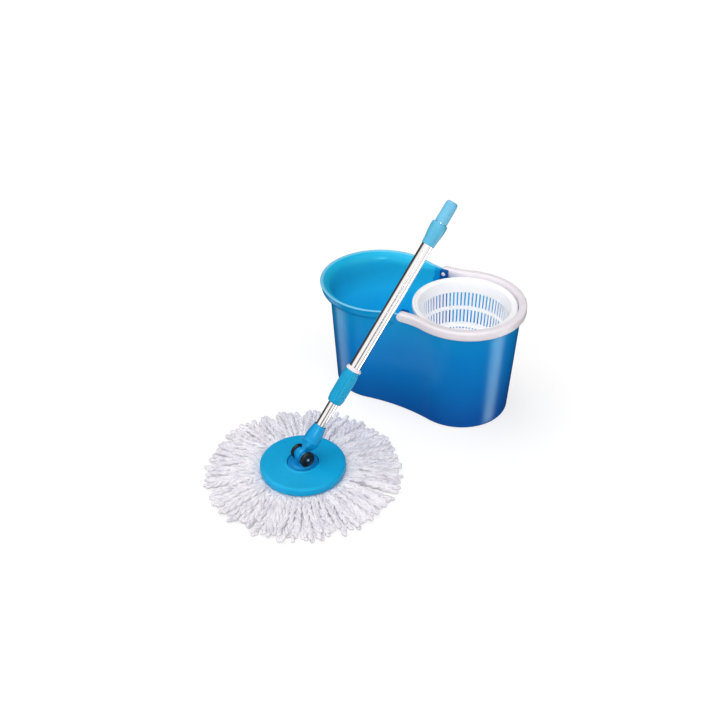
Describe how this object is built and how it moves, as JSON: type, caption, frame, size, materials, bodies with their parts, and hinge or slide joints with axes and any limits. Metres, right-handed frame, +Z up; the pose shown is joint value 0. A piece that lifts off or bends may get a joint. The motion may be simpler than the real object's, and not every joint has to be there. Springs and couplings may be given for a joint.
{
  "type": "spin mop",
  "caption": "Spin mop with a twin-lobe bucket, spinning wringer basket, carrying bail, round swivel head and telescopic drive pole.",
  "frame": {"origin": "on the wringer basket's axis, on the floor face of the bucket", "axes": "+Z up along the basket's axis, +X from the water lobe to the basket lobe, +Y to the back of the bucket, away from the mop"},
  "size_m": [0.4644, 0.6654, 0.47],
  "materials": {
    "bucket_plastic": "glossy blue moulding",
    "disc_plastic": "glossy light blue moulding",
    "hub_plastic": "glossy mid blue moulding",
    "grip_plastic": "satin pale blue moulding with ribs",
    "white_plastic": "satin white moulding",
    "grey_plastic": "natural nylon",
    "black_plastic": "glossy black cap",
    "microfibre": "white looped microfibre strands",
    "stainless": "polished stainless tube",
    "zinc_steel": "bright zinc plated",
    "brass": "sintered"
  },
  "bodies": {
    "bucket": {"bucket_shell": "bucket_plastic", "bail_pivot_pins": "white_plastic", "basket_post": "white_plastic", "post_screws": "zinc_steel", "spindle": "zinc_steel", "thrust_washer": "zinc_steel"},
    "bail": {"handle_bail": "white_plastic"},
    "turning_seat": {"basket_seat": "grey_plastic", "bearing_bush": "brass"},
    "wringer_basket": {"basket": "white_plastic"},
    "hub": {"swivel_hub": "hub_plastic", "hinge_pin": "zinc_steel", "hinge_caps": "black_plastic", "hub_clip": "zinc_steel"},
    "head": {"mop_disc": "disc_plastic", "refill_ring": "white_plastic", "mop_strands": "microfibre"},
    "lower_pole": {"pole_socket": "disc_plastic", "socket_rivet": "zinc_steel", "inner_tube": "stainless", "clutch_cup": "grey_plastic", "clutch_cap": "grey_plastic"},
    "nut": {"drive_nut": "grey_plastic"},
    "upper_pole": {"outer_tube": "stainless", "guide_bush": "grey_plastic", "lock_collet": "grey_plastic", "lock_ring": "white_plastic", "rod_anchor": "grey_plastic", "anchor_pin": "zinc_steel", "helical_rod": "zinc_steel", "grip_lower": "grip_plastic", "grip_upper": "grip_plastic"},
    "sleeve": {"lock_sleeve": "grip_plastic"}
  },
  "joints": [
    {"name": "bail_swing", "type": "hinge", "parent": "bucket", "child": "bail", "pos_m": [-0.0855, 0, 0.229], "axis": [0, -1, 0], "range_deg": [0, 110]},
    {"name": "basket_spin", "type": "hinge", "parent": "bucket", "child": "turning_seat", "pos_m": [0, 0, 0.1], "axis": [0, 0, 1], "continuous": true},
    {"name": "basket_lift", "type": "slide", "parent": "turning_seat", "child": "wringer_basket", "axis": [0, 0, 1], "range_m": [0, 0.12]},
    {"name": "mop_lift", "type": "slide", "parent": "bucket", "child": "hub", "axis": [0, 0, 1], "range_m": [0, 0.3]},
    {"name": "head_spin", "type": "hinge", "parent": "hub", "child": "head", "pos_m": [-0.157, -0.354, 0.02], "axis": [0, 0, 1], "continuous": true},
    {"name": "pole_tilt", "type": "hinge", "parent": "hub", "child": "lower_pole", "pos_m": [-0.157, -0.354, 0.045], "axis": [-0.9063, 0.4226, 0], "range_deg": [-110, 0]},
    {"name": "pole_press", "type": "slide", "parent": "lower_pole", "child": "upper_pole", "axis": [0.2642, 0.5667, 0.7804], "range_m": [-0.04, 0.22]},
    {"name": "nut_turn", "type": "hinge", "parent": "lower_pole", "child": "nut", "pos_m": [-0.05183, -0.12847, 0.35561], "axis": [0.2642, 0.5667, 0.7804], "range_deg": [-1000, 190]},
    {"name": "lock_twist", "type": "hinge", "parent": "upper_pole", "child": "sleeve", "pos_m": [-0.11736, -0.269, 0.16206], "axis": [0.2642, 0.5667, 0.7804], "range_deg": [0, 90]}
  ],
  "couplings": [
    {"joint": "nut_turn", "follows": "pole_press", "rad_per_m": -78.54}
  ]
}
